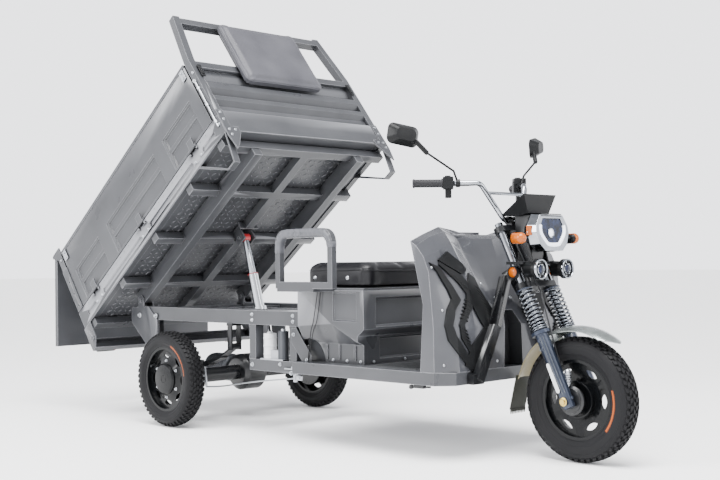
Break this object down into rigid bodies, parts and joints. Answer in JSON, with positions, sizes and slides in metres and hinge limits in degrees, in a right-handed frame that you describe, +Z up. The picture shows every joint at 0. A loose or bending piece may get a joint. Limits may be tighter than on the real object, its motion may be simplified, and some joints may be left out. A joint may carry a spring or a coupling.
{
  "type": "electric cargo tricycle",
  "caption": "Three-wheeled electric cargo vehicle with a tipping open load bed raised by a telescopic ram, a bench seat, a leg shield and a motorcycle fork.",
  "frame": {"origin": "on the floor at mid width, straight below the rear axle", "axes": "+X forward, +Y to the vehicle's left, +Z up"},
  "size_m": [3.4665, 1.122, 2.0791],
  "materials": {
    "grey_paint": "semi-gloss",
    "grey_moulding": "gloss",
    "black_metal": "satin",
    "steel": "satin",
    "chrome": "polished",
    "black_rim": "gloss",
    "tyre_rubber": "matt",
    "black_plastic": "matt",
    "grip_rubber": "matt",
    "seat_leather": "satin",
    "cushion_leather": "satin",
    "dark_casting": "satin",
    "mudguard_paint": "gloss",
    "lens": "clear",
    "amber_lens": "gloss",
    "motor_casting": "satin"
  },
  "bodies": {
    "chassis": {"chassis_frame": "grey_paint", "floor_pan": "grey_paint", "seat_box": "grey_paint", "seat_cushion": "seat_leather", "battery_pack": "black_plastic", "armrest": "grey_paint", "cowl": "grey_moulding", "cowl_trims": "black_plastic", "head_frame": "black_metal", "leaf_springs": "black_metal", "rear_axle": "black_metal", "drive_motor": "motor_casting", "hydraulic_unit": "steel"},
    "rear_wheel_left": {"rear_tyre_left": "tyre_rubber", "rear_rim_left": "black_rim"},
    "rear_wheel_right": {"rear_tyre_right": "tyre_rubber", "rear_rim_right": "black_rim"},
    "front_wheel": {"front_tyre": "tyre_rubber", "front_rim": "black_rim"},
    "steering": {"steering_head": "black_metal", "fork_uppers": "chrome", "fork_lowers": "dark_casting", "fork_springs": "chrome", "front_mudguard": "mudguard_paint", "handlebar": "chrome", "grips": "grip_rubber", "mirrors": "black_plastic", "dash_cluster": "black_plastic", "headlamp_shell": "chrome", "headlamp_lens": "lens", "lamp_bracket": "black_metal", "ring_lamps": "black_plastic", "indicators": "amber_lens"},
    "bed": {"bed_floor": "grey_paint", "bed_subframe": "grey_paint", "headboard": "grey_paint", "headboard_cushion": "cushion_leather", "bed_tail": "grey_paint", "tail_lamps": "black_plastic"},
    "tailgate": {"tailgate": "grey_paint"},
    "side_left": {"side_panel_left": "grey_paint"},
    "side_right": {"side_panel_right": "grey_paint"},
    "ram_barrel": {"ram_barrel": "steel"},
    "ram_stage": {"ram_stage": "steel"},
    "ram_rod": {"ram_rod": "chrome"}
  },
  "joints": [
    {"name": "rear_left_spin", "type": "hinge", "parent": "chassis", "child": "rear_wheel_left", "pos_m": [0, 0.496, 0.241], "axis": [0, 1, 0], "continuous": true},
    {"name": "rear_right_spin", "type": "hinge", "parent": "chassis", "child": "rear_wheel_right", "pos_m": [0, -0.496, 0.241], "axis": [0, 1, 0], "continuous": true},
    {"name": "steering_turn", "type": "hinge", "parent": "chassis", "child": "steering", "pos_m": [2.08868, 0, 0.23287], "axis": [-0.4226, 0, 0.9063], "range_deg": [-40, 40]},
    {"name": "front_spin", "type": "hinge", "parent": "steering", "child": "front_wheel", "pos_m": [2.134, 0, 0.254], "axis": [0, 1, 0], "continuous": true},
    {"name": "bed_tilt", "type": "hinge", "parent": "chassis", "child": "bed", "pos_m": [-0.44, 0, 0.625], "axis": [0, -1, 0], "range_deg": [-37.5, 7.5]},
    {"name": "tailgate_swing", "type": "hinge", "parent": "bed", "child": "tailgate", "pos_m": [-1.06448, 0, 0.86555], "axis": [0, 1, 0], "range_deg": [-37.5, 60]},
    {"name": "side_left_drop", "type": "hinge", "parent": "bed", "child": "side_left", "pos_m": [-0.17045, 0.555, 1.03099], "axis": [-0.7934, 0, -0.6088], "range_deg": [0, 178]},
    {"name": "side_right_drop", "type": "hinge", "parent": "bed", "child": "side_right", "pos_m": [-0.17045, -0.555, 1.03099], "axis": [0.7934, 0, 0.6088], "range_deg": [0, 178]},
    {"name": "ram_swing", "type": "hinge", "parent": "chassis", "child": "ram_barrel", "pos_m": [0.191, 0, 0.312], "axis": [0, -1, 0], "range_deg": [-4.88, 0.98]},
    {"name": "ram_stage_slide", "type": "slide", "parent": "ram_barrel", "child": "ram_stage", "axis": [-0.2871, 0, 0.9579], "range_m": [-0.1763, 0.0353]},
    {"name": "ram_rod_slide", "type": "slide", "parent": "ram_stage", "child": "ram_rod", "axis": [-0.2871, 0, 0.9579], "range_m": [-0.1763, 0.0353]}
  ],
  "couplings": [
    {"joint": "ram_swing", "follows": "bed_tilt", "ratio": 0.13},
    {"joint": "ram_stage_slide", "follows": "bed_tilt", "m_per_rad": 0.26929},
    {"joint": "ram_rod_slide", "follows": "bed_tilt", "m_per_rad": 0.26929}
  ]
}
